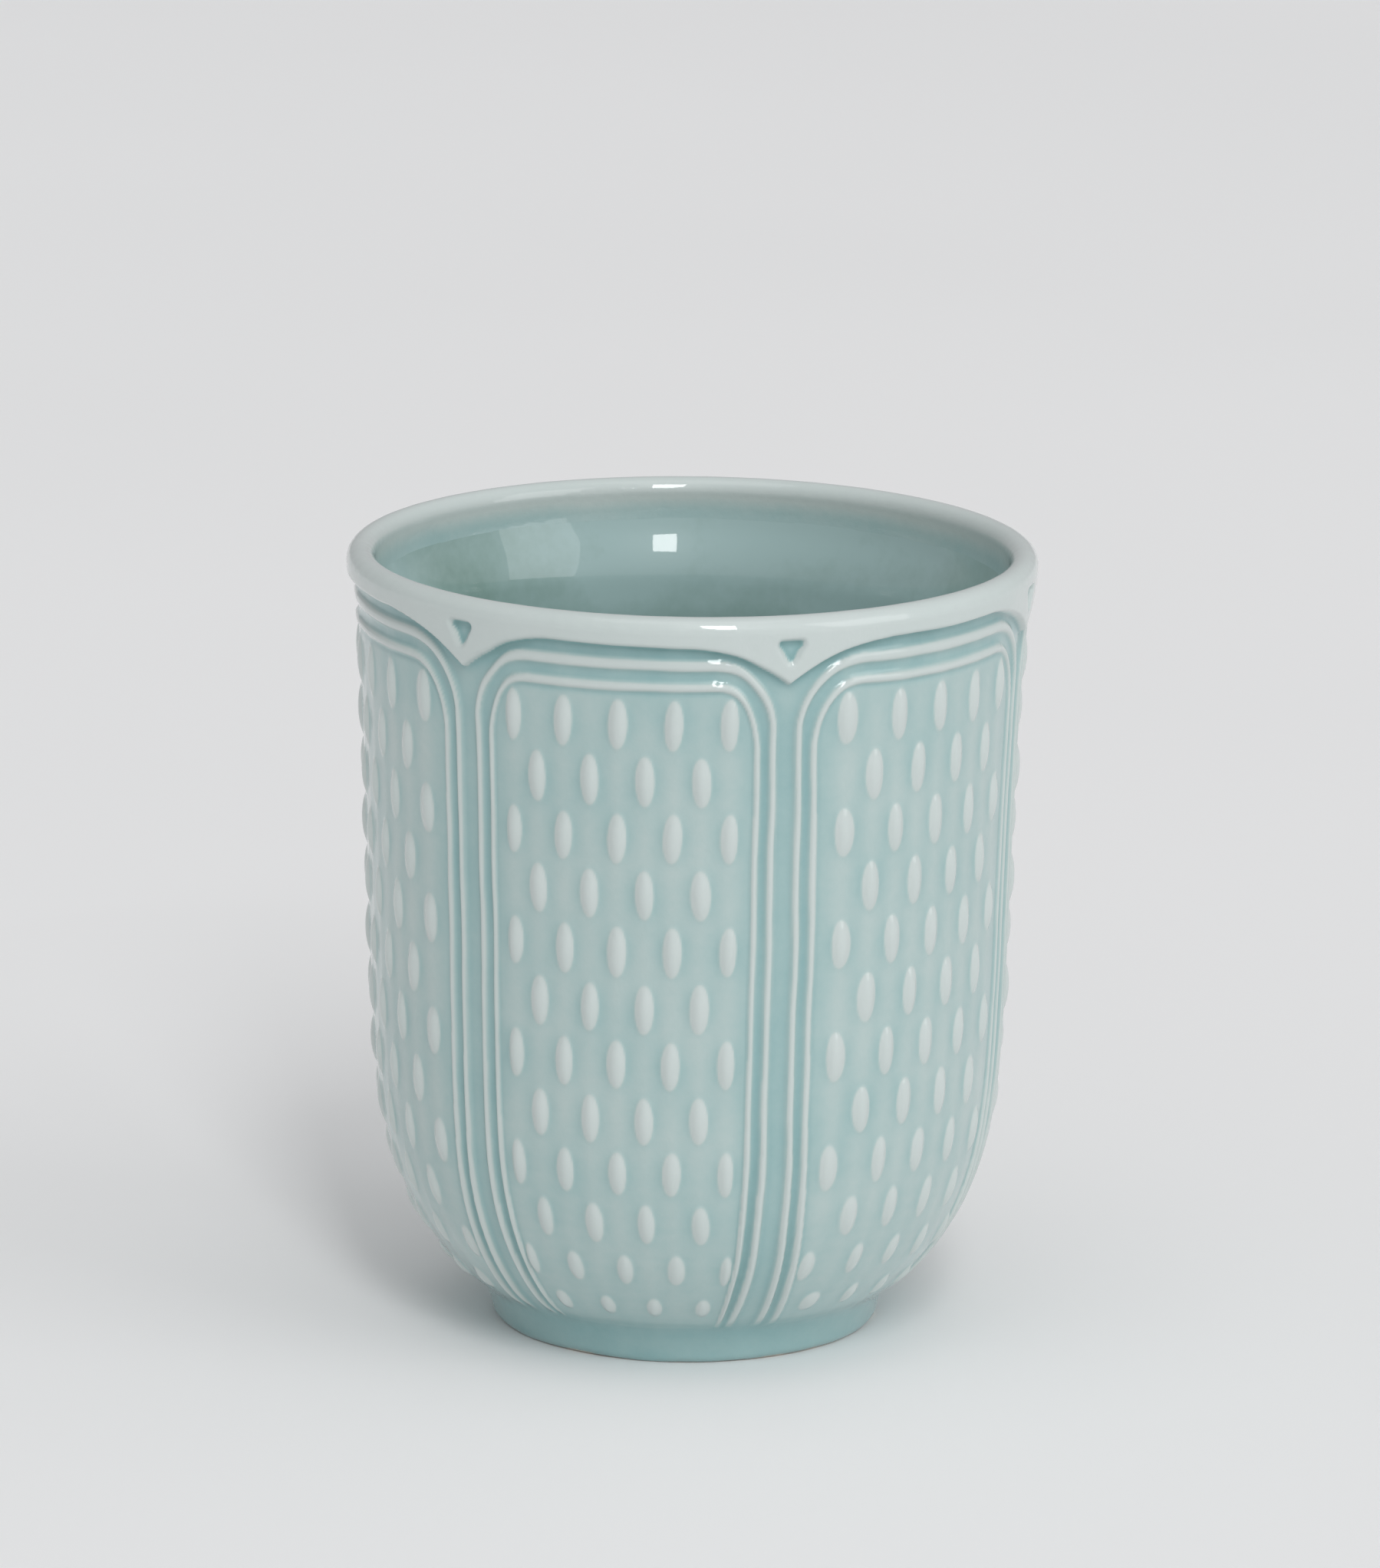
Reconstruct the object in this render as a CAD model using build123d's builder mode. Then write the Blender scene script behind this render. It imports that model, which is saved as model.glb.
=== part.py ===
"""Brush holder pot: a footed porcelain cup with six arched panels of raised grains.

Millimetres. +Z is up, the origin is on the pot's axis at table height, and the
first panel faces -Y. Outlines turned about the axis are drawn as (radius, height).
"""

import os
from math import cos, degrees, pi, radians, sin, sqrt

from build123d import *

os.makedirs("parts", exist_ok=True)

# The cup as a whole
height = 102.5
mouth_radius = 44.5  # outside of the lip
wall_thickness = 3.0
floor_thickness = 4.0
floor_radius = 24.0  # flat part of the floor, inside
lip_radius = 1.7  # half the thickness of the rounded lip
lip_height = 2.5  # from the rim band up to the top
lip_undercut = 0.1  # how far the lip's base is in from its widest
rim_root_setback = 1.6  # wall's radius under the lip, in from the mouth's

# Wall between foot and lip
flare_angle = 40.0  # above the horizontal, where the wall leaves the foot
flare_strength = 1.2  # how long it keeps to that direction
belly_setback, belly_height = 4.0, 40.0  # how far in from the mouth, and how high
shoulder_setback, shoulder_drop = 3.0, 32.5  # the drop is from the top
rim_lean = 0.06  # outward run for each unit of rise, under the lip

# Foot ring
foot_radius = 25.2
foot_height = 5.5
foot_flare = 1.8  # how far the flank widens up to the wall
foot_waist = 0.35  # how far the flank is hollowed
foot_edge_radius = 1.2
foot_ring_width = 4.2
foot_inner_slope = 0.6
foot_inner_chamfer = 0.6

# Relief
panels = 6
band_drop = 3.7  # from the top down to the band's edge over a panel
band_thickness = 1.1  # at the band's lowest point
band_corner_radius = 19.5  # of its edge, from the straight part down to a point
band_corner_run = 13.5  # how far round the pot that corner is carried
band_overrun = 0.57  # past the panel's own edge, so that two corners meet in a point
notch_width = 4.2
notch_depth = 1.2  # from the mouth's radius in
notch_height = 3.6
notch_drop = 3.0  # from the top
notch_corner_radius = 0.5
line_width = 0.75  # at the sides of a panel
outer_crown_width, inner_crown_width = 1.4, 1.0  # across the top of a panel
line_relief = 0.6
outer_line_inset = 1.45  # from the panel's edge to the middle of the line
inner_line_inset = 3.55
outer_line_gap = 2.4  # from the band's edge down to the line
inner_line_gap = 2.9  # from the outer line down to the inner one
outer_corner_run, outer_corner_drop = 8.0, 8.9
inner_corner_run, inner_corner_drop = 5.6, 8.4
field_relief = 0.25  # of the raised field inside the lines
field_groove = 0.5  # clear floor of the groove round the field

# Grains
grain_rows = 12
grains_in_wide_row = 5
grain_length = 7.2
grain_width = 2.4
grain_relief = 0.6  # above the field
grain_side_margin = 4.75  # from the inner line to the outermost column
first_row_drop = 4.9  # from the inner line to the middle of the first row
last_row_rise = 5.6  # from the foot up along the wall to the last row
shortening = 1.6  # power of the girth by which grains shorten towards the foot

# Glaze
glaze_thickness = 0.3

# Worked out from the sizes above
half_panel = pi / panels
rim_root_radius = mouth_radius - rim_root_setback
lip_base_radius = mouth_radius - lip_undercut
lip_base = height - lip_height
foot_top_radius = foot_radius + foot_flare
foot_inner_radius = foot_radius - foot_ring_width
floor_top = foot_height + floor_thickness
band_edge = height - band_drop
outer_line_top = band_edge - outer_line_gap
inner_line_top = outer_line_top - inner_line_gap
band_foot = band_edge - band_corner_radius + sqrt(band_corner_radius**2 - band_corner_run**2)
reach = mouth_radius + wall_thickness  # past the outside of the pot
inner_stations = (0.92, 0.75, 0.56, 0.39, 0.26, 0.17)  # shares of the outside's outline


def wall_outside(shift=0.0):
    """Outside of the wall under the relief, from the foot up to the lip."""
    flare = radians(flare_angle)
    return Spline(
        (foot_top_radius + shift / sin(flare), foot_height),
        (mouth_radius - belly_setback + shift, belly_height),
        (mouth_radius - shoulder_setback + shift, height - shoulder_drop),
        (rim_root_radius + shift, lip_base),
        tangents=[(cos(flare), sin(flare)), (rim_lean, 1)],
        tangent_scalars=[flare_strength, 1],
    )


def foot_flank(shift=0.0):
    """Outside of the foot, from its rounded edge up to the wall."""
    middle = (foot_radius + foot_top_radius) / 2 - foot_waist
    return ThreePointArc(
        (foot_radius + shift, foot_edge_radius),
        (middle + shift, (foot_edge_radius + foot_height) / 2),
        (foot_top_radius + shift, foot_height),
    )


meridian = wall_outside()


def wall_radius(level):
    """Radius of the wall's outside at a height."""
    low, high = 0.0, 1.0
    for _ in range(40):
        middle = (low + high) / 2
        if (meridian @ middle).Y < level:
            low = middle
        else:
            high = middle
    return (meridian @ low).X


def wall_inside(shift=0.0):
    """Inside of the wall: parallel to its outside, from the lip down to the flat floor."""
    depth = wall_thickness + shift
    points = [(mouth_radius - 2 * lip_radius - shift, height - lip_radius)]
    for share in inner_stations:
        outside, along = meridian @ share, meridian % share
        points.append((outside.X - depth * along.Y, outside.Y + depth * along.X))
    return Spline(*points, (floor_radius, floor_top + shift), tangents=[(0, -1), (-1, 0)])


def across(distance, radius):
    """Sideways position of a point that lies a distance round from a panel's middle."""
    return radius * sin(distance / radius)


def side_points(inset, top):
    """Right-hand side of a panel outline, a fixed distance in from the panel's edge."""
    steps = 9
    rises = [(step / steps) ** 2 for step in range(steps + 1)]  # closer together near the foot
    levels = [foot_height + (top - foot_height) * rise for rise in rises]
    radii = [wall_radius(level) for level in levels]
    return [(across(r * half_panel - inset, r), z) for r, z in zip(radii, levels)]


def arch(inset, top, corner_run, corner_drop):
    """Sketch of a panel outline: sides that follow the wall, and a round-cornered top."""
    sides = side_points(inset, top - corner_drop)
    corner_x, corner_z = sides[-1]
    with BuildSketch(Plane.XZ) as outline:
        with BuildLine():
            Spline(*sides)
            EllipticalCenterArc(
                (corner_x - corner_run, corner_z), corner_run, corner_drop, 0, arc_size=90
            )
            Line((corner_x - corner_run, top), (0, top))
            Line((0, top), (0, foot_height))
            Line((0, foot_height), sides[0])
        make_face()
        mirror(about=Plane.YZ)
    return outline.sketch


def turned(part, panel):
    """A copy of a panel's relief, turned to another panel."""
    return part.rotate(Axis.Z, 360 / panels * panel)


def save(part, label):
    """Labels a finished piece and writes it."""
    part.label = label
    export_step(part, f"parts/{label}.step")


# Wall: floor, side and rolled lip, thrown in one
with BuildPart() as porcelain_wall:
    lip_middle = mouth_radius - lip_radius
    with BuildSketch(Plane.XZ):
        with BuildLine():
            wall_outside()
            Polyline(
                (rim_root_radius, lip_base),
                (lip_base_radius, lip_base),
                (mouth_radius, height - lip_radius),
            )
            ThreePointArc(
                (mouth_radius, height - lip_radius),
                (lip_middle, height),
                (lip_middle - lip_radius, height - lip_radius),
            )
            wall_inside()
            Polyline(
                (floor_radius, floor_top),
                (0, floor_top),
                (0, foot_height),
                (foot_top_radius, foot_height),
            )
        make_face()
    revolve(axis=Axis.Z)

# Foot ring, luted to the underside of the floor
foot_inner_top = foot_inner_radius - foot_inner_slope
with BuildPart() as foot_ring:
    with BuildSketch(Plane.XZ):
        with BuildLine():
            foot_flank()
            Polyline(
                (foot_top_radius, foot_height),
                (foot_inner_top, foot_height),
                (foot_inner_radius, foot_inner_chamfer),
                (foot_inner_radius + foot_inner_chamfer, 0),
                (foot_radius - foot_edge_radius, 0),
            )
            RadiusArc(
                (foot_radius - foot_edge_radius, 0),
                (foot_radius, foot_edge_radius),
                -foot_edge_radius,
            )
        make_face()
    revolve(axis=Axis.Z)

# Rim band: a smooth ring cut away over each panel, which leaves a point between two panels
with BuildSketch(Plane.XZ) as panel_opening:
    edge_radius = wall_radius(band_edge)
    corner_end = edge_radius * half_panel + band_overrun
    flat_x = across(corner_end - band_corner_run, edge_radius)
    reach_x = across(corner_end, edge_radius)
    with BuildLine():
        Line((0, foot_height), (0, band_edge))
        Line((0, band_edge), (flat_x, band_edge))
        RadiusArc((flat_x, band_edge), (reach_x, band_foot), band_corner_radius)
        Polyline((reach_x, band_foot), (reach_x, foot_height), (0, foot_height))
    make_face()
    mirror(about=Plane.YZ)

notch_plane = Plane.XZ.rotated((0, 0, degrees(half_panel))).offset(mouth_radius - notch_depth)
with BuildSketch(notch_plane) as notch:
    notch_top = height - notch_drop
    with BuildLine():
        Polyline(
            (-notch_width / 2, notch_top),
            (notch_width / 2, notch_top),
            (0, notch_top - notch_height),
            close=True,
        )
    make_face()
    fillet(notch.vertices(), notch_corner_radius)

with BuildPart() as rim_band:
    within_wall = rim_root_radius - wall_thickness / 2
    with BuildSketch(Plane.XZ):
        with BuildLine():
            Polyline(
                (within_wall, band_foot),
                (wall_radius(band_foot) + band_thickness, band_foot),
                (lip_base_radius, lip_base),
                (within_wall, lip_base),
                close=True,
            )
        make_face()
    revolve(axis=Axis.Z)
    add(porcelain_wall.part, mode=Mode.SUBTRACT)
    for panel in range(panels):
        opening = extrude(panel_opening.sketch, amount=reach, mode=Mode.PRIVATE)
        add(turned(opening, panel), mode=Mode.SUBTRACT)
        pocket = extrude(notch.sketch, amount=reach, mode=Mode.PRIVATE)
        add(turned(pocket, panel), mode=Mode.SUBTRACT)


def layer(thickness):
    """A skin of even thickness all round the outside of the wall."""
    with BuildPart() as skin:
        with BuildSketch(Plane.XZ):
            with BuildLine():
                wall_outside()
                Line((rim_root_radius, lip_base), (rim_root_radius + thickness, lip_base))
                outer = wall_outside(thickness)
                Line(outer @ 0, (foot_top_radius, foot_height))
            make_face()
        revolve(axis=Axis.Z)
    return skin.part


# Frame lines of one panel: two thin ribs, one inside the other, open at the foot
line_layer = layer(line_relief)
with BuildPart() as panel_lines:
    for inset, top, run, drop, crown_width in [
        (outer_line_inset, outer_line_top, outer_corner_run, outer_corner_drop, outer_crown_width),
        (inner_line_inset, inner_line_top, inner_corner_run, inner_corner_drop, inner_crown_width),
    ]:
        half, crown = line_width / 2, crown_width / 2
        outer_edge = arch(inset - half, top + crown, run + half, drop + crown)
        inner_edge = arch(inset + half, top - crown, run - half, drop - crown)
        extrude(outer_edge - inner_edge, amount=reach)
    add(line_layer, mode=Mode.INTERSECT)

# Field of one panel: a low pad that fills the inner line, a groove's width clear of it
field_layer = layer(field_relief)
with BuildPart() as panel_field:
    side_margin = line_width / 2 + field_groove
    top_margin = inner_crown_width / 2 + field_groove
    pad = arch(
        inner_line_inset + side_margin,
        inner_line_top - top_margin,
        inner_corner_run - side_margin,
        inner_corner_drop - top_margin,
    )
    extrude(pad, amount=reach)
    add(field_layer, mode=Mode.INTERSECT)


# Grains of one panel: half-sunk spheroids in staggered rows
def grain(length, width):
    """One grain lying along X, its middle sunk so that only its back stands out."""
    girth_radius = (width**2 / 4 + grain_relief**2) / (2 * grain_relief)
    sink = girth_radius - grain_relief
    half_length = length / 2 / sqrt(1 - (sink / girth_radius) ** 2)
    with BuildPart() as spheroid:
        with BuildSketch(Plane.XY):
            with BuildLine():
                EllipticalCenterArc((0, 0), half_length, girth_radius, 0, arc_size=180)
                Line((-half_length, 0), (half_length, 0))
            make_face()
        revolve(axis=Axis.X)
    return spheroid.part.translate((0, 0, -sink))


def grain_plane(distance, angle):
    """Plane on the field, its X up the wall, a distance from the foot and an angle round."""
    point = meridian.position_at(distance, position_mode=PositionMode.LENGTH)
    slope = meridian.tangent_at(distance, position_mode=PositionMode.LENGTH)
    radius, level = point.X + field_relief, point.Y
    return Plane(
        origin=(radius * sin(angle), -radius * cos(angle), level),
        x_dir=(slope.X * sin(angle), -slope.X * cos(angle), slope.Y),
        z_dir=(slope.Y * sin(angle), -slope.Y * cos(angle), -slope.X),
    )


def first_row_distance():
    """Distance along the wall from the foot up to the first row of grains."""
    level = inner_line_top - first_row_drop
    return meridian.length * meridian.param_at_point((wall_radius(level), level))


grain_solids = []
outermost = rim_root_radius * half_panel - inner_line_inset - grain_side_margin
column_pitch = 2 * outermost / (grains_in_wide_row - 1)
top_distance = first_row_distance()
row_pitch = (top_distance - last_row_rise) / (grain_rows - 1)
for row in range(grain_rows):
    distance = top_distance - row * row_pitch
    radius = meridian.position_at(distance, position_mode=PositionMode.LENGTH).X
    girth = radius / rim_root_radius
    row_grain = grain(grain_length * girth**shortening, grain_width * sqrt(girth))
    in_row = grains_in_wide_row - row % 2
    for column in range(in_row):
        offset = (column - (in_row - 1) / 2) * column_pitch * sqrt(girth)
        grain_solids.append(grain_plane(distance, offset / radius).location * row_grain)

with BuildPart() as panel_grains:
    add(grain_solids)
    with BuildSketch(Plane.XZ):
        with BuildLine():
            field_face = wall_outside(field_relief)
            Polyline(field_face @ 1, (0, lip_base), (0, foot_height), field_face @ 0)
        make_face()
    revolve(axis=Axis.Z, mode=Mode.SUBTRACT)

# Glaze on the outside: pools in the grooves of the relief, and covers the foot's flank
with BuildPart() as outside_glaze:
    with BuildSketch(Plane.XZ):
        with BuildLine():
            foot_flank()
            wall_outside()
            Line((rim_root_radius, lip_base), (rim_root_radius + glaze_thickness, lip_base))
            glaze_face = wall_outside(glaze_thickness)
            flank_face = foot_flank(glaze_thickness)
            Line(glaze_face @ 0, flank_face @ 1)
            Line(
                (foot_radius + glaze_thickness, foot_edge_radius),
                (foot_radius, foot_edge_radius),
            )
        make_face()
    revolve(axis=Axis.Z)
    add(rim_band.part, mode=Mode.SUBTRACT)
    for panel in range(panels):
        add(turned(panel_lines.part, panel), mode=Mode.SUBTRACT)
        add(turned(panel_field.part, panel), mode=Mode.SUBTRACT)

# Glaze inside, from the lip down over the floor
with BuildPart() as inside_glaze:
    with BuildSketch(Plane.XZ):
        lip_inside = mouth_radius - 2 * lip_radius
        with BuildLine():
            wall_inside()
            Polyline(
                (floor_radius, floor_top),
                (0, floor_top),
                (0, floor_top + glaze_thickness),
                (floor_radius, floor_top + glaze_thickness),
            )
            wall_inside(glaze_thickness)
            Line(
                (lip_inside - glaze_thickness, height - lip_radius),
                (lip_inside, height - lip_radius),
            )
        make_face()
    revolve(axis=Axis.Z)

# Glaze under the floor, inside the foot ring
with BuildPart() as base_glaze:
    flank_run = foot_inner_slope * glaze_thickness / (foot_height - foot_inner_chamfer)
    with BuildSketch(Plane.XZ):
        with BuildLine():
            Polyline(
                (0, foot_height),
                (foot_inner_top, foot_height),
                (foot_inner_top + flank_run, foot_height - glaze_thickness),
                (0, foot_height - glaze_thickness),
                close=True,
            )
        make_face()
    revolve(axis=Axis.Z)

save(porcelain_wall.part, "porcelain_wall")
save(foot_ring.part, "foot_ring")
save(rim_band.part, "rim_band")
save(outside_glaze.part, "outside_glaze")
save(inside_glaze.part, "inside_glaze")
save(base_glaze.part, "base_glaze")
for panel in range(panels):
    save(turned(panel_lines.part, panel), f"frame_lines_{panel + 1}")
    save(turned(panel_field.part, panel), f"field_{panel + 1}")
    save(turned(panel_grains.part, panel), f"grains_{panel + 1}")
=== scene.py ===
"""Looks of a celadon brush pot: soft glaze over moulded relief, on a pale studio floor.

Metres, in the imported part's frame: +Z up, first panel facing -Y, the origin on the
axis at table height. The relief is read off the CAD nodes, softened as glaze softens
clay, and carried on closed coats that stand for the nodes they cover.
"""

from math import atan2, ceil, cos, pi, radians, sin, tau

import bmesh
import bpy
import numpy as np
from mathutils import Matrix, Vector
from mathutils.bvhtree import BVHTree


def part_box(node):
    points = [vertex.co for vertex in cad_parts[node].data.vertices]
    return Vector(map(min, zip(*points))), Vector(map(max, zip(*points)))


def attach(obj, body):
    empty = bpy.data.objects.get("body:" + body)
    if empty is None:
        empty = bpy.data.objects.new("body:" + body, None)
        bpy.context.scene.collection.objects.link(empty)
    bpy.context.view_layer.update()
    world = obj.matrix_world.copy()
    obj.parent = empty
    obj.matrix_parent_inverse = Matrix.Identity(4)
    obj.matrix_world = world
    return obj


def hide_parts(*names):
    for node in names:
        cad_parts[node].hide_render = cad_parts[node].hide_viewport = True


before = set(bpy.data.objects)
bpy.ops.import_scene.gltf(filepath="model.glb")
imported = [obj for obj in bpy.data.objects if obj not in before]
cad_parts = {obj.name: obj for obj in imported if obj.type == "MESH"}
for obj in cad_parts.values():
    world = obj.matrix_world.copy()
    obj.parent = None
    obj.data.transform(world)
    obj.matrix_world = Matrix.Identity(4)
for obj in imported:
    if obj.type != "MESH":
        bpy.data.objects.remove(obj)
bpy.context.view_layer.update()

MM = 0.001

# Sizes read off the frame
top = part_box("porcelain_wall")[1].z
mouth_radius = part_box("porcelain_wall")[1].x
band_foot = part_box("rim_band")[0].z
floor_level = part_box("inside_glaze")[0].z
foot_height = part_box("foot_ring")[1].z
recess_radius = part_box("base_glaze")[1].x
recess_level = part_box("base_glaze")[0].z
panels = sum(name.startswith("field_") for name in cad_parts)

# How finely the coats are drawn
columns_per_panel = 180
row_step = 0.27 * MM
fine_columns, fine_rows = 3, 2  # readings of the relief to each column and row
coarse = 6  # fine steps to one step of a coat's hidden back
inside_columns_per_panel = 45
inside_step = 0.9 * MM

# Glaze
film = 0.1 * MM  # over high relief
inside_film = 0.6 * MM  # down the inside, away from the lip
edge_softness = 0.2 * MM
pool_reach = 0.7 * MM  # how far from a step the glaze fills its foot
pool_fill = 0.3  # share of the step that it fills there
coat_back = 0.35 * MM  # how deep under the clay's face a coat's back lies
glaze_line = 0.08 * MM  # lowest edge of the glaze, on the foot
joint_reach = 2.0 * MM  # of the glaze that softens the joint over the foot
# how much lower the foot's painted shade starts in the panels' middles
foot_shade_lobe = 0.35 * MM
seam_drop = 2.4 * MM  # from the top down to the edge between side and lip coats
lip_inside_drop = 5.0 * MM
lip_radius = 1.7 * MM
relief_held_drop = 3.05 * MM  # from here up the relief keeps its height: the wall turns in under it

# Irregularity of hand work
drift_round = 0.2 * MM
drift_up = 0.22 * MM
first_panel_squeeze = 0.9 * MM  # how far in the first panel's edges lie
body_wobble = 0.08 * MM
flute_height = 0.1 * MM  # soft ribs in line with the columns of grains
flute_reach = 9.0 * MM

# Camera: place and lens
camera_turn = 12.35  # degrees round from the first panel's face
camera_rise = 14.754
camera_distance = 1.2023
camera_pivot = Vector((0, 0, 0.0483))  # the point it is measured from
camera_aim = Vector((0, 0, 0.0708))
camera_roll = 0.6486
camera_lens = 211.75
camera_sensor = 36.0


def around(turn, rise, distance, centre=Vector((0, 0, 0))):
    """A point at a bearing from the front, a height angle and a distance from a centre."""
    a, e = radians(turn), radians(rise)
    return centre + distance * Vector((sin(a) * cos(e), -cos(a) * cos(e), sin(e)))


def facing(place, target, roll=0.0):
    """Rotation that points an object's -Z from one place to another."""
    look = (target - place).to_track_quat("-Z", "Y").to_matrix()
    return (look @ Matrix.Rotation(radians(roll), 3, "Z")).to_euler()


def make_camera():
    """Camera at the photograph's viewing angle."""
    data = bpy.data.cameras.new("camera")
    data.lens = camera_lens
    data.sensor_width = camera_sensor
    data.clip_start, data.clip_end = 0.05, 50
    camera = bpy.data.objects.new("camera", data)
    bpy.context.scene.collection.objects.link(camera)
    camera.location = around(camera_turn, camera_rise, camera_distance, camera_pivot)
    camera.rotation_euler = facing(camera.location, camera_aim, camera_roll)
    bpy.context.scene.camera = camera


# Reading the relief off the CAD nodes
def tree(*names):
    """One search tree over the faces of several CAD nodes."""
    points, faces = [], []
    for name in names:
        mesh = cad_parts[name].data
        first = len(points)
        points.extend(vertex.co[:] for vertex in mesh.vertices)
        faces.extend([first + v for v in polygon.vertices] for polygon in mesh.polygons)
    return BVHTree.FromPolygons(points, faces)


def distance_to(target, start, direction):
    """Distance along a ray to the first face, or None."""
    return target.ray_cast(start, direction)[3]


def blurred(values, reach, axis=0, wraps=False):
    """Gaussian blur along one axis. The reach is its standard deviation, in steps."""
    half = max(1, ceil(3 * reach))
    taps = np.arange(-half, half + 1)
    weights = np.exp(-(taps**2) / (2 * reach**2))
    weights /= weights.sum()
    pad = [(0, 0)] * values.ndim
    pad[axis] = (half, half)
    ends = {"mode": "wrap"} if wraps else {"mode": "reflect", "reflect_type": "odd"}
    padded = np.pad(values, pad, **ends)
    length = values.shape[axis]
    return sum(w * np.take(padded, range(k, k + length), axis) for k, w in enumerate(weights))


def resampled(outline, step):
    """An outline of (radius, height) points as points an even step apart."""
    along = np.concatenate([[0], np.cumsum(np.hypot(*np.diff(outline, axis=0).T))])
    even = np.linspace(0, along[-1], max(2, int(round(along[-1] / step)) + 1))
    return np.stack([np.interp(even, along, outline[:, k]) for k in (0, 1)], 1)


def side_normals(outline):
    """Unit normals of an outline, on the right of its direction of travel."""
    run = np.gradient(outline, axis=0)
    run /= np.linalg.norm(run, axis=1)[:, None]
    return np.stack([run[:, 1], -run[:, 0]], 1)


def outside_outline():
    """Smooth guide line from the foot up the side, over the lip and down inside it."""
    bare = tree("porcelain_wall", "foot_ring", "rim_band")
    turn = 0.85 * pi / panels  # beside a notch, where the band reaches low
    inward = Vector((-sin(turn), cos(turn), 0))
    far = 2 * mouth_radius
    lip_centre = np.array([mouth_radius - lip_radius, top - lip_radius])
    levels = np.arange(0.05 * MM, lip_centre[1], 0.2 * MM)
    blend_low, blend_high = band_foot - 4 * MM, top - 4.5 * MM
    outline = []
    for level in levels:
        if blend_low < level < blend_high:
            continue
        reach = distance_to(bare, -inward * far + Vector((0, 0, level)), inward)
        outline.append((far - reach, level))
    for angle in np.linspace(0, pi, 24):
        outline.append(lip_centre + lip_radius * np.array([cos(angle), sin(angle)]))
    for level in np.arange(lip_centre[1], top - lip_inside_drop - 2 * MM, -0.2 * MM):
        reach = distance_to(bare, Vector((0, 0, level)), -inward)
        outline.append((reach, level))
    step = row_step / fine_rows
    even = resampled(np.array(outline), step)
    smooth = np.stack([blurred(even[:, k], 1.35 * MM / step) for k in (0, 1)], 1)
    near_lip = np.clip((even[:, 1] - (top - 4 * MM)) / (2 * MM), 0, 1)[:, None]
    return resampled(smooth * (1 - near_lip) + even * near_lip, step)


def relief_map(names, outline, normals, columns):
    """Heights of some nodes over the guide line, in one panel. A panel is its own mirror image."""
    target = tree(*names)
    stand_off = 3 * MM
    half = np.zeros((len(outline), columns // 2 + 1))
    for column in range(half.shape[1]):
        turn = (column + 0.001) / columns * tau / panels
        out = Vector((sin(turn), -cos(turn), 0))
        for row, ((radius, level), (n_r, n_z)) in enumerate(zip(outline, normals)):
            normal = out * n_r + Vector((0, 0, n_z))
            start = out * radius + Vector((0, 0, level)) + normal * stand_off
            reach = distance_to(target, start, -normal)
            deepest = 1.5 * stand_off
            half[row, column] = stand_off - (deepest if reach is None else min(reach, deepest))
    slits = np.minimum(half[:-2], half[2:])  # a ray may slip between two nodes that touch
    half[1:-1] = np.maximum(half[1:-1], slits)
    return np.concatenate([half[:, :0:-1], half[:, :-1]], 1)


# Smooth, repeatable unevenness
class Drift:
    """A smooth seeded field on the pot's surface, about -1 to 1."""

    def __init__(self, seed, wavelength, waves=14):
        rng = np.random.default_rng(seed)
        rounds = tau * mouth_radius / wavelength
        lean = rng.uniform(0, pi, waves)
        self.turns = np.round(rounds * np.cos(lean) * rng.uniform(0.5, 1.1, waves))
        self.rises = tau / wavelength * np.sin(lean) * rng.uniform(0.5, 1.1, waves)
        self.phases = rng.uniform(0, tau, waves)

    def __call__(self, turn, rise):
        total = sum(
            np.cos(k * turn + f * rise + p)
            for k, f, p in zip(self.turns, self.rises, self.phases)
        )
        return np.clip(total / np.sqrt(len(self.phases)), -1, 1)


def sampled(field, rows, columns):
    """Bilinear values of a field that wraps round its columns."""
    rows = np.clip(rows, 0, field.shape[0] - 1.001)
    r, c = np.floor(rows).astype(int), np.floor(columns).astype(int)
    fr, fc = rows - r, columns - c
    c0, c1 = c % field.shape[1], (c + 1) % field.shape[1]
    low = field[r, c0] * (1 - fc) + field[r, c1] * fc
    high = field[r + 1, c0] * (1 - fc) + field[r + 1, c1] * fc
    return low * (1 - fr) + high * fr


def smoothstep(low, high, values):
    """0 below low, 1 above high, and a smooth rise between."""
    share = np.clip((values - low) / (high - low), 0, 1)
    return share * share * (3 - 2 * share)


# Surfaces of turned grids
def turned_points(radii, levels, turns):
    """Points at radii and levels (rows by columns), turned about the axis."""
    return np.stack([radii * np.sin(turns), -radii * np.cos(turns), levels], -1)


def grid_normals(points):
    """Unit normals of a grid that wraps round its columns."""
    up = np.gradient(points, axis=0)
    along = np.roll(points, -1, axis=1) - np.roll(points, 1, axis=1)
    normals = np.cross(along, up)
    return normals / np.linalg.norm(normals, axis=2)[:, :, None]


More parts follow.
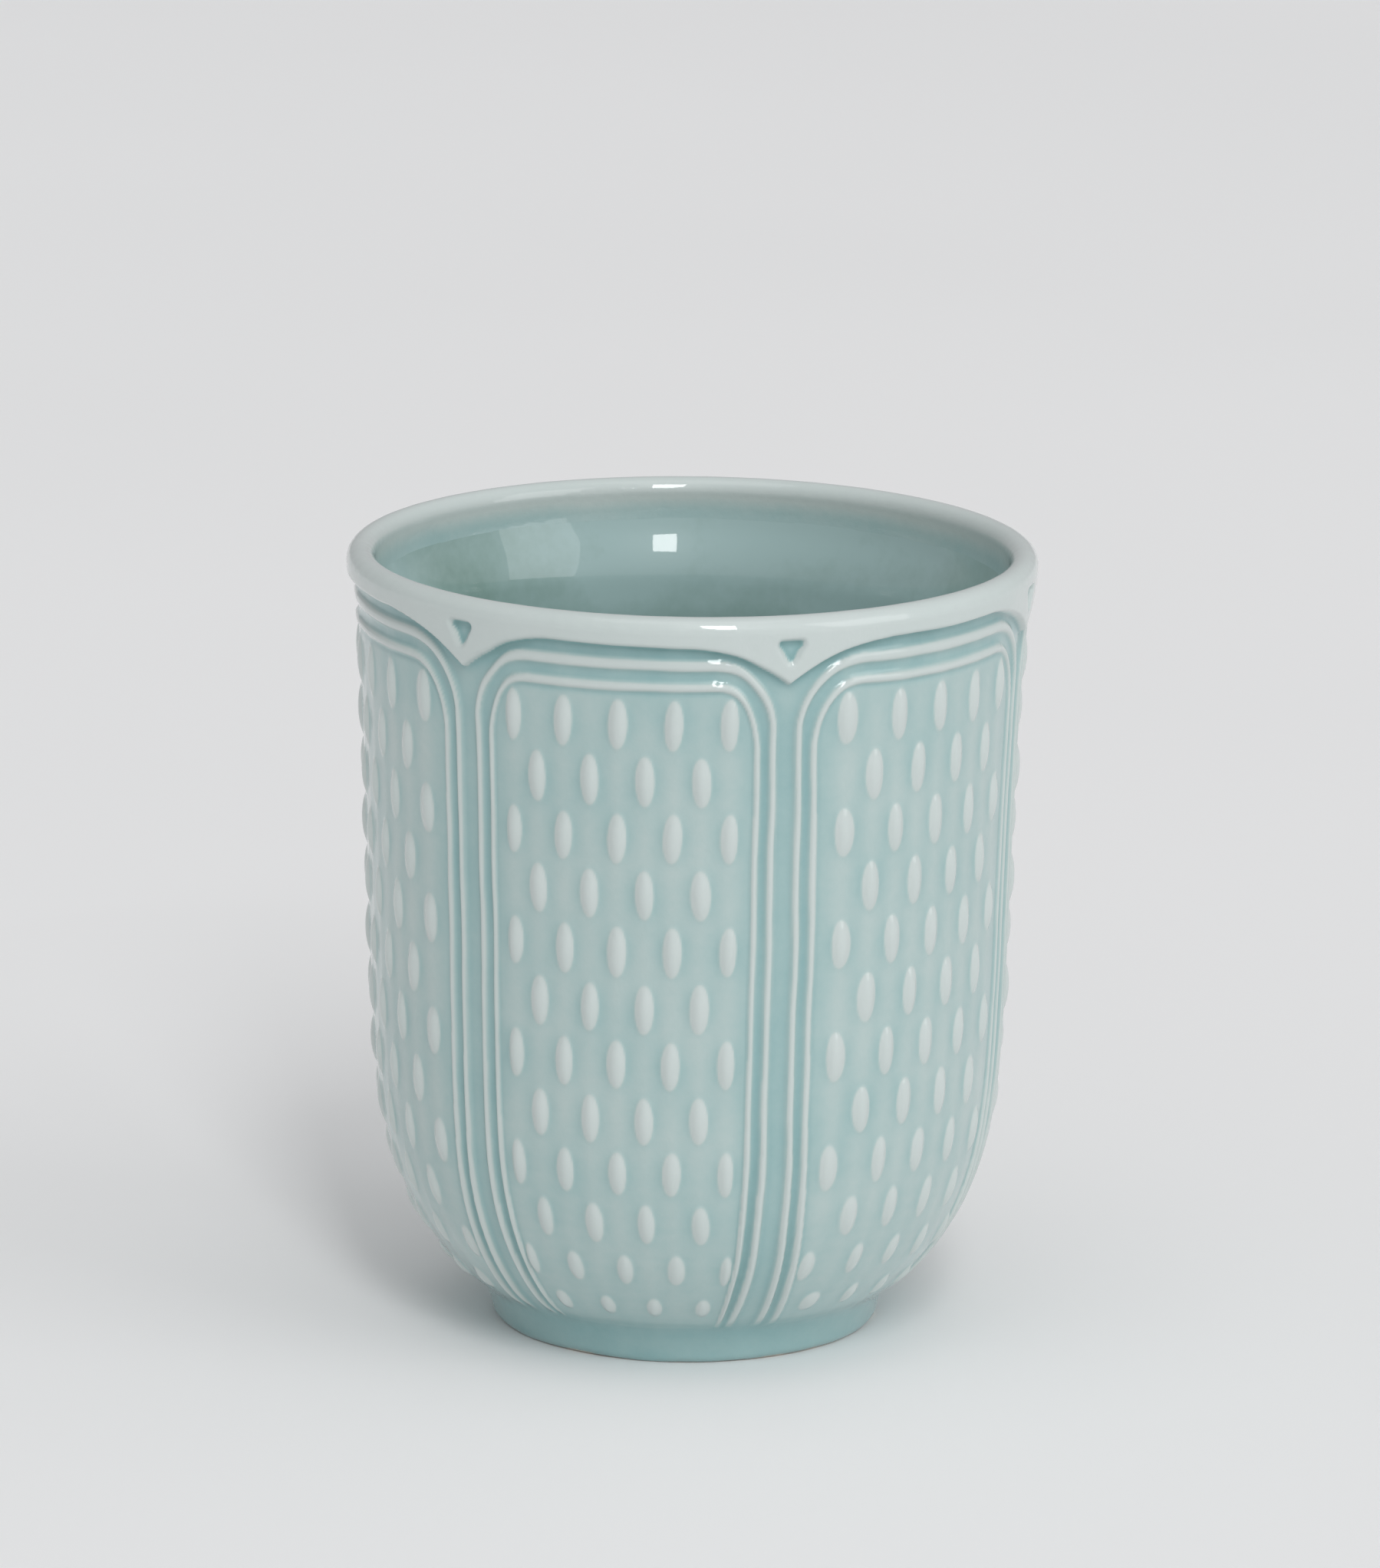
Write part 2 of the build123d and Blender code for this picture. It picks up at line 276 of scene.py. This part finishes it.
def coat(name, front, normals, under, values, closed, material):
    """A closed coat: a fine front, and a coarse back picked from a grid under it.

    The front is a grid of points, rows by columns. A closed coat wraps round.
    """
    rows, columns = front.shape[:2]
    picked_rows = list(range(0, rows - 1, coarse)) + [rows - 1]
    picked_columns = list(range(0, columns, coarse))
    if not closed and picked_columns[-1] != columns - 1:
        picked_columns.append(columns - 1)
    back = under[np.ix_(picked_rows, picked_columns)]
    first_back = rows * columns
    back_columns = len(picked_columns)

    def at(row, column):
        return row * columns + column % columns

    def behind(row, column):
        return first_back + row * back_columns + column % back_columns

    across = columns if closed else columns - 1
    r, c = np.meshgrid(np.arange(rows - 1), np.arange(across), indexing="ij")
    quads = np.stack([at(r, c), at(r, c + 1), at(r + 1, c + 1), at(r + 1, c)], -1).reshape(-1, 4)
    faces = quads.tolist()
    shown = len(faces)
    spans = back_columns if closed else back_columns - 1
    for row in range(len(picked_rows) - 1):
        for column in range(spans):
            corners = [(row, column), (row + 1, column), (row + 1, column + 1), (row, column + 1)]
            faces.append([behind(*corner) for corner in corners])
    for edge_row, flip in ((0, False), (len(picked_rows) - 1, True)):
        for column in range(spans):
            start = picked_columns[column]
            end = picked_columns[column + 1] if column + 1 < back_columns else columns
            rim = [at(picked_rows[edge_row], c) for c in range(start, end + 1)]
            wall = [behind(edge_row, column), *rim, behind(edge_row, column + 1)]
            faces.append(wall if flip else wall[::-1])
    if not closed:
        for edge_column, flip in ((0, True), (back_columns - 1, False)):
            for row in range(len(picked_rows) - 1):
                rim = [
                    at(r, picked_columns[edge_column])
                    for r in range(picked_rows[row], picked_rows[row + 1] + 1)
                ]
                wall = [behind(row, edge_column), *rim, behind(row + 1, edge_column)]
                faces.append(wall if flip else wall[::-1])
    mesh = bpy.data.meshes.new(name)
    points = np.concatenate([front.reshape(-1, 3), back.reshape(-1, 3)])
    mesh.from_pydata(points, [], faces)
    mesh.update()
    smooth = np.zeros(len(faces), bool)
    smooth[:shown] = True
    mesh.polygons.foreach_set("use_smooth", smooth)
    shading = np.zeros(len(mesh.loops) * 3)
    mesh.corner_normals.foreach_get("vector", shading)
    shading = shading.reshape(-1, 3)
    shading[: shown * 4] = normals.reshape(-1, 3)[quads.ravel()]
    mesh.normals_split_custom_set(shading)
    # the glaze attribute holds glaze depth, and also painted shade on the foot and low inside the
    # pot
    attribute = mesh.attributes.new("glaze", "FLOAT", "POINT")
    spread = values[np.ix_(picked_rows, picked_columns)].ravel()
    readings = np.concatenate([values.ravel(), spread]).astype(np.float32)
    attribute.data.foreach_set("value", readings)
    mesh.materials.append(material)
    piece = bpy.data.objects.new(name, mesh)
    bpy.context.scene.collection.objects.link(piece)
    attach(piece, "root")
    return piece


# Materials
def colour(red, green, blue):
    """An sRGB colour of 0 to 255 as linear RGBA."""
    shares = [c / 255 for c in (red, green, blue)]
    return [s / 12.92 if s <= 0.04045 else ((s + 0.055) / 1.055) ** 2.4 for s in shares] + [1]


class Shader:
    """Node tree of a new material, with the few node kinds used here."""

    def __init__(self, name, **finish):
        self.material = bpy.data.materials.new(name)
        self.material.use_nodes = True
        self.nodes = self.material.node_tree.nodes
        self.links = self.material.node_tree.links
        self.surface = self.nodes["Principled BSDF"]
        self.place = self.nodes.new("ShaderNodeTexCoord").outputs["Object"]
        for socket, value in finish.items():
            self.surface.inputs[socket.replace("_", " ")].default_value = value

    def noise(self, scale, detail=2.0, roughness=0.5):
        node = self.nodes.new("ShaderNodeTexNoise")
        node.inputs["Scale"].default_value = scale
        node.inputs["Detail"].default_value = detail
        node.inputs["Roughness"].default_value = roughness
        self.links.new(self.place, node.inputs["Vector"])
        return node.outputs["Fac"]

    def maths(self, operation, first, second):
        node = self.nodes.new("ShaderNodeMath")
        node.operation = operation
        for socket, value in zip(node.inputs, (first, second)):
            if isinstance(value, (int, float)):
                socket.default_value = value
            else:
                self.links.new(value, socket)
        return node.outputs[0]

    def swing(self, noise, amount):
        """A noise as a value that swings an amount each way about nought."""
        return self.maths("MULTIPLY", self.maths("SUBTRACT", noise, 0.5), 2 * amount)

    def attribute(self, name):
        node = self.nodes.new("ShaderNodeAttribute")
        node.attribute_name = name
        return node.outputs["Fac"]

    def ramp(self, value, stops, into):
        node = self.nodes.new("ShaderNodeValToRGB")
        ramp = node.color_ramp
        while len(ramp.elements) < len(stops):
            ramp.elements.new(0.5)
        for element, (place, shade) in zip(ramp.elements, stops):
            element.position = place
            element.color = shade if isinstance(shade, list) else (shade, shade, shade, 1)
        self.links.new(value, node.inputs["Fac"])
        self.links.new(node.outputs["Color"], self.surface.inputs[into])

    def bump(self, height, distance, strength=1.0):
        node = self.nodes.new("ShaderNodeBump")
        node.inputs["Strength"].default_value = strength
        node.inputs["Distance"].default_value = distance
        self.links.new(height, node.inputs["Height"])
        self.links.new(node.outputs["Normal"], self.surface.inputs["Normal"])


GLAZE = {
    "IOR": 1.5,
    "Specular_IOR_Level": 0.25,
    "Coat_Weight": 1.0,
    "Coat_Roughness": 0.03,
}


def relief_glaze():
    """Celadon glaze over relief: thin and pale on what is high, deep blue-green in the hollows."""
    shader = Shader("relief_glaze", **GLAZE)
    clouds = shader.swing(shader.noise(95.0, 3.0), 0.10)
    specks = shader.swing(shader.noise(900.0, 2.0), 0.035)
    # glaze depth from the attribute, with the painted shade on the foot that it also carries
    glaze_depth_and_shade = shader.maths("ADD", shader.attribute("glaze"), shader.maths("ADD", clouds, specks))
    stops = [
        (0.0, colour(118, 160, 160)),
        (0.17, colour(139, 176, 177)),
        (0.34, colour(160, 188, 187)),
        (0.62, colour(193, 205, 202)),
        (0.85, colour(201, 210, 208)),
    ]
    shader.ramp(glaze_depth_and_shade, stops, "Base Color")
    shader.ramp(shader.noise(260.0, 3.0), [(0.3, 0.3), (0.7, 0.45)], "Roughness")
    peel = shader.maths("ADD", shader.noise(420.0, 2.0), shader.noise(1600.0, 1.0))
    shader.bump(peel, 0.00002)
    return shader.material


def deep_glaze(name, pale, deep):
    """Thick celadon glaze, even but for slow clouds of a deeper shade and its glaze attribute; down
    inside the pot that attribute is partly painted shade.
    """
    shader = Shader(name, **GLAZE)
    slow, specks = shader.noise(45.0, 3.0), shader.swing(shader.noise(700.0, 2.0), 0.08)
    clouds = shader.maths("SUBTRACT", shader.maths("ADD", slow, specks), 0.5)
    glaze_depth_and_shade = shader.maths("ADD", shader.attribute("glaze"), clouds)
    shader.ramp(glaze_depth_and_shade, [(0.2, deep), (0.8, pale)], "Base Color")
    shader.ramp(shader.noise(180.0, 3.0), [(0.3, 0.3), (0.7, 0.4)], "Roughness")
    shader.bump(shader.noise(380.0, 2.0), 0.00002)
    return shader.material


def bare_porcelain(name, pale, shade, roughness):
    """Unglazed fired porcelain: fine grit, faint warm stains."""
    shader = Shader(name, IOR=1.45)
    blotches, grit = shader.noise(120.0, 4.0, 0.6), shader.swing(shader.noise(2500.0), 0.15)
    stain = shader.maths("ADD", blotches, grit)
    shader.ramp(stain, [(0.3, shade), (0.7, pale)], "Base Color")
    rough_stops = [(0.3, roughness - 0.08), (0.7, roughness + 0.08)]
    shader.ramp(shader.noise(900.0), rough_stops, "Roughness")
    shader.bump(shader.noise(3000.0, 3.0), 0.00003)
    return shader.material


# The coats
def side_and_lip(material):
    """Side coats, one to a panel, and one over the lip. Returns the lip coat's inner edge."""
    fine_outline = outside_outline()
    fine_normals = side_normals(fine_outline)
    per_panel = columns_per_panel * fine_columns
    wall_nodes = ("porcelain_wall", "foot_ring")
    clay_nodes = (*wall_nodes, "rim_band", "frame_lines_1", "field_1")
    wall = relief_map(wall_nodes, fine_outline, fine_normals, 2)[:, :1]
    plain = relief_map(clay_nodes, fine_outline, fine_normals, per_panel)
    grains = relief_map(("grains_1",), fine_outline, fine_normals, per_panel)
    grains = np.maximum(grains - plain, 0)

    outline, normals = fine_outline[::fine_rows], fine_normals[::fine_rows]
    rows, columns = len(outline), columns_per_panel * panels
    turns = (np.arange(columns) / columns * tau)[None, :] - pi / panels
    rise = (np.arange(rows) * row_step)[:, None]
    radius, level = outline[:, :1], outline[:, 1:]
    inner_half = np.arange(rows)[:, None] > np.argmax(level)
    lip_calm = (1 - smoothstep(top - 2.9 * MM, top - 1.2 * MM, level)) * ~inner_half
    slow, quick = Drift(3, 42 * MM)(turns, rise), Drift(4, 13 * MM)(turns, rise)
    round_drift = drift_round * (slow + 0.4 * quick)
    slow, quick = Drift(5, 36 * MM)(turns, rise), Drift(6, 12 * MM)(turns, rise)
    up_drift = drift_up * (slow + 0.4 * quick)
    bearing = np.arctan2(np.sin(turns), np.cos(turns))
    away = np.degrees(np.abs(bearing))
    round_drift = round_drift + np.sign(bearing) * first_panel_squeeze * (
        smoothstep(19, 24, away) * (1 - smoothstep(38, 46, away))
    )
    column_at = np.arange(columns)[None, :] + round_drift * lip_calm / radius / tau * columns
    row_at = np.arange(rows)[:, None] + up_drift * lip_calm / row_step
    column_step = np.mean(radius) * tau / columns

    def over_all(field):
        """A panel's fine map, softened, repeated round the pot and drifted."""
        tiled = blurred(field, edge_softness / row_step * fine_rows)
        tiled = np.tile(tiled, (1, panels))
        tiled = blurred(tiled, edge_softness / column_step * fine_columns, 1, wraps=True)
        return sampled(tiled, row_at * fine_rows, column_at * fine_columns)

    def soft(field, reach):
        return blurred(blurred(field, reach / row_step), reach / column_step, 1, wraps=True)

    ribs, plains = over_all(grains), over_all(plain)
    bases = blurred(wall, edge_softness / row_step * fine_rows)[::fine_rows] + 0 * plains
    lip_start = int(np.argmax(level > top - relief_held_drop))
    relief = plains - bases
    relief[lip_start:] = np.median(relief[lip_start])

    # The glaze's face: it rounds edges, fills the feet of steps and the joint over the foot
    heights = plains + ribs
    shade_lobes = foot_shade_lobe * np.cos(panels * turns)  # the painted shade on the foot starts lower in the panels' middles; the shape has no lobes
    joint = np.exp(-(((level - foot_height) / joint_reach) ** 2)) * ~inner_half
    pooled = heights + pool_fill * np.maximum(soft(heights, pool_reach) - heights, 0)
    pooled = pooled * (1 - joint) + soft(pooled, 0.6 * joint_reach) * joint
    flutes = blurred(blurred(ribs, flute_reach / row_step), 0.9 * MM / column_step, 1, wraps=True)
    flutes = flute_height * flutes / flutes.max()
    wobble = body_wobble * (1 + Drift(8, 60 * MM)(turns, rise)) * lip_calm
    wobble = wobble * smoothstep(0, 3 * MM, level)
    surface = pooled + film + flutes + wobble

    # Its depth of colour: 0 in hollows, 1 over high relief; the foot also gets painted shade
    relief = (relief + ribs) / MM
    hollow = np.clip(soft(relief, 0.9 * MM) - relief, 0, None)
    ground = 0.36 - 0.7 * hollow + 1.2 * flutes / MM - 0.1 * joint
    grain_tops = smoothstep(0.02, 0.2, ribs / MM)
    line_tops = smoothstep(0.28, 0.56, relief) * (1 - smoothstep(0.1, 0.35, hollow))
    shade = ground + (0.78 - ground) * np.maximum(grain_tops, line_tops) * (1 - 0.6 * joint)
    # painted shade: the foot's colour is darker below a lobed line, for the shade under the panels'
    # lower ends
    foot_shade = 1 - smoothstep(foot_height - 1.5 * MM, foot_height + 1.2 * MM, level + shade_lobes)
    shade -= 0.12 * foot_shade * ~inner_half
    deeper = smoothstep(1.0 * MM, 4.6 * MM, top - level) * inner_half
    shade = shade * (1 - deeper) + 0.36 * deeper

    spread = np.broadcast_to(turns, surface.shape)
    n_r, n_z = normals[:, :1], normals[:, 1:]
    points = turned_points(radius + surface * n_r, level + surface * n_z, spread)
    lighting = grid_normals(points)
    sunk = bases - coat_back * (1 + 2.5 * joint)
    under = turned_points(radius + sunk * n_r, level + sunk * n_z, spread)

    first = int(np.argmax(level > glaze_line))
    seam = int(np.argmax(level > top - seam_drop))
    last = int(np.argmax(inner_half & (level < top - lip_inside_drop)))

    around_all = ("outside_glaze", "rim_band")
    for panel in range(panels):
        take = np.arange(panel * columns_per_panel, (panel + 1) * columns_per_panel + 1) % columns
        part = np.ix_(np.arange(first, seam + 1), take)
        piece = coat(
            f"glazed_panel_{panel + 1}", points[part], lighting[part], under[part], shade[part],
            False, material,
        )
        own = [f"{kind}_{panel + 1}" for kind in ("frame_lines", "field", "grains")]
        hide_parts(*own, *around_all)
    lip_rows = slice(seam, last + 1)
    lip = coat(
        "glazed_lip", points[lip_rows], lighting[lip_rows], under[lip_rows], shade[lip_rows],
        True, material,
    )
    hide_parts("rim_band")
    return outline[last]


def inside(start, material):
    """Glaze inside the pot, from under the lip's coat down over the floor."""
    bare = tree("porcelain_wall")
    centre = Vector((0, 0, 0.5 * top))
    first = atan2(start[1] - centre.z, start[0])
    outline = []
    for angle in np.linspace(first, -pi / 2 + 0.02, 400):
        out = Vector((cos(angle), 0, sin(angle)))
        reach = distance_to(bare, centre, out)
        outline.append((reach * out.x, centre.z + reach * out.z))
    outline = resampled(np.array(outline), inside_step)
    smooth = np.stack([blurred(outline[:, k], 1.0) for k in (0, 1)], 1)
    normals = side_normals(smooth)
    columns = inside_columns_per_panel * panels
    turns = (np.arange(columns) / columns * tau)[None, :]
    rise = (np.arange(len(outline)) * inside_step)[:, None]
    wobble = 0.06 * MM * (1 + Drift(12, 40 * MM)(turns, rise))
    throwing = 0.02 * MM * (1 + np.sin(rise / (4.5 * MM) * tau + turns))
    fade = smoothstep(0, 8 * MM, rise) * smoothstep(2 * MM, 14 * MM, smooth[:, :1])
    lift = film + (inside_film - film) * smoothstep(0, 8 * MM, rise) + (wobble + throwing) * fade
    radii = smooth[:, :1] + lift * normals[:, :1]
    levels = smooth[:, 1:] + lift * normals[:, 1:]
    points = turned_points(radii, levels, np.broadcast_to(turns, radii.shape))
    # darker lower down inside: partly thicker glaze pooling deeper in the pot, partly painted shade
    # falling inside it
    less_pool_and_shade = smoothstep(floor_level + 30 * MM, top, np.broadcast_to(smooth[:, 1:], radii.shape))
    lighting = grid_normals(points)
    piece = coat(
        "glazed_inside", points, lighting, points - 2 * coat_back * lighting, 0.25 + 0.5 * less_pool_and_shade,
        True, material,
    )
    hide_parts("inside_glaze")


def base_coat(material):
    """Glaze under the floor, inside the foot ring: a shallow disc that creeps down at its rim."""
    steps, columns = 26, inside_columns_per_panel * panels
    radii = np.linspace(1.0 * MM, recess_radius, steps)[:, None] * np.ones((1, columns))
    turns = (np.arange(columns) / columns * tau)[None, :]
    creep = 0.5 * MM * smoothstep(recess_radius - 1.5 * MM, recess_radius, radii)
    swell = 0.05 * MM * Drift(21, 14 * MM)(turns, radii)
    levels = recess_level - creep - swell
    points = turned_points(radii, levels, np.broadcast_to(turns, radii.shape))
    points = points[::-1]
    lighting = grid_normals(points)
    piece = coat(
        "glazed_base", points, lighting, points - 0.25 * MM * lighting, np.full(radii.shape, 0.4),
        True, material,
    )
    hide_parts("base_glaze")


# Studio
def make_stage():
    """A wide, plain, pale floor."""
    paper = Shader("stage_paper", Roughness=0.85)
    paper.ramp(paper.noise(3.0, 2.0), [(0.3, 0.87), (0.7, 0.89)], "Base Color")
    mesh = bpy.data.meshes.new("stage_floor")
    build = bmesh.new()
    bmesh.ops.create_circle(build, cap_ends=True, segments=96, radius=12.0)
    build.to_mesh(mesh)
    build.free()
    mesh.materials.append(paper.material)
    floor = bpy.data.objects.new("stage_floor", mesh)
    bpy.context.scene.collection.objects.link(floor)


def make_lamp(name, turn, rise, distance, width, length, power, shade=(1.0, 1.0, 1.0)):
    """A softbox that faces the pot, its bearing given from the camera's."""
    data = bpy.data.lights.new(name, "AREA")
    data.shape = "RECTANGLE"
    data.size, data.size_y = width, length
    data.energy = power
    data.color = shade
    lamp = bpy.data.objects.new(name, data)
    bpy.context.scene.collection.objects.link(lamp)
    middle = Vector((0, 0, 0.5 * top))
    lamp.location = around(camera_turn + turn, rise, distance, middle)
    lamp.rotation_euler = facing(lamp.location, middle)


def make_light():
    """Soft studio light: a tall main box, a broad fill, an overhead, two glints, a pale room."""
    make_lamp("main_box", 11, 42, 12.0, 1.8, 6.6, 420.0)
    make_lamp("right_fill", 62, 25, 10.0, 5.4, 7.2, 168.0)
    make_lamp("overhead", -10, 80, 12.0, 8.0, 8.0, 128.0)
    make_lamp("spot_near", 22, 30, 6.0, 0.1, 0.1, 3.5, (0.93, 0.93, 1.0))
    make_lamp("spot_far", 24.5, 30.5, 6.0, 0.1, 0.1, 2.5, (0.93, 0.93, 1.0))
    world = bpy.data.worlds.new("room")
    world.use_nodes = True
    tree_nodes, links = world.node_tree.nodes, world.node_tree.links
    way = tree_nodes.new("ShaderNodeTexCoord").outputs["Generated"]
    lit_side = tree_nodes.new("ShaderNodeVectorMath")
    lit_side.operation = "DOT_PRODUCT"
    lit_side.inputs[1].default_value = around(camera_turn + 50, 20, 1.0)
    links.new(way, lit_side.inputs[0])
    strength = tree_nodes.new("ShaderNodeMapRange")
    spans = {"From Min": -1.0, "From Max": 1.0, "To Min": 0.38, "To Max": 0.62}
    for socket, value in spans.items():
        strength.inputs[socket].default_value = value
    links.new(lit_side.outputs["Value"], strength.inputs["Value"])
    room = tree_nodes["Background"]
    room.inputs["Color"].default_value = (0.98, 0.985, 1.0, 1)
    links.new(strength.outputs["Result"], room.inputs["Strength"])
    bpy.context.scene.world = world
    bpy.context.scene.view_settings.view_transform = "Standard"


make_camera()
relief = relief_glaze()
lip_inside_edge = side_and_lip(relief)
# the inside's deep colour, low in the pot, is partly painted shade
inside(lip_inside_edge, deep_glaze("inside_glaze", colour(163, 190, 189), colour(100, 134, 119)))
base_coat(deep_glaze("base_glaze", colour(160, 188, 186), colour(140, 172, 170)))
porcelain = bare_porcelain("porcelain_body", colour(226, 222, 212), colour(214, 209, 198), 0.55)
clay = bare_porcelain("bare_foot", colour(214, 213, 203), colour(198, 194, 180), 0.7)
for node, material in (("porcelain_wall", porcelain), ("foot_ring", clay)):
    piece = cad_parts[node]
    piece.data.materials.clear()
    piece.data.materials.append(material)
make_stage()
make_light()
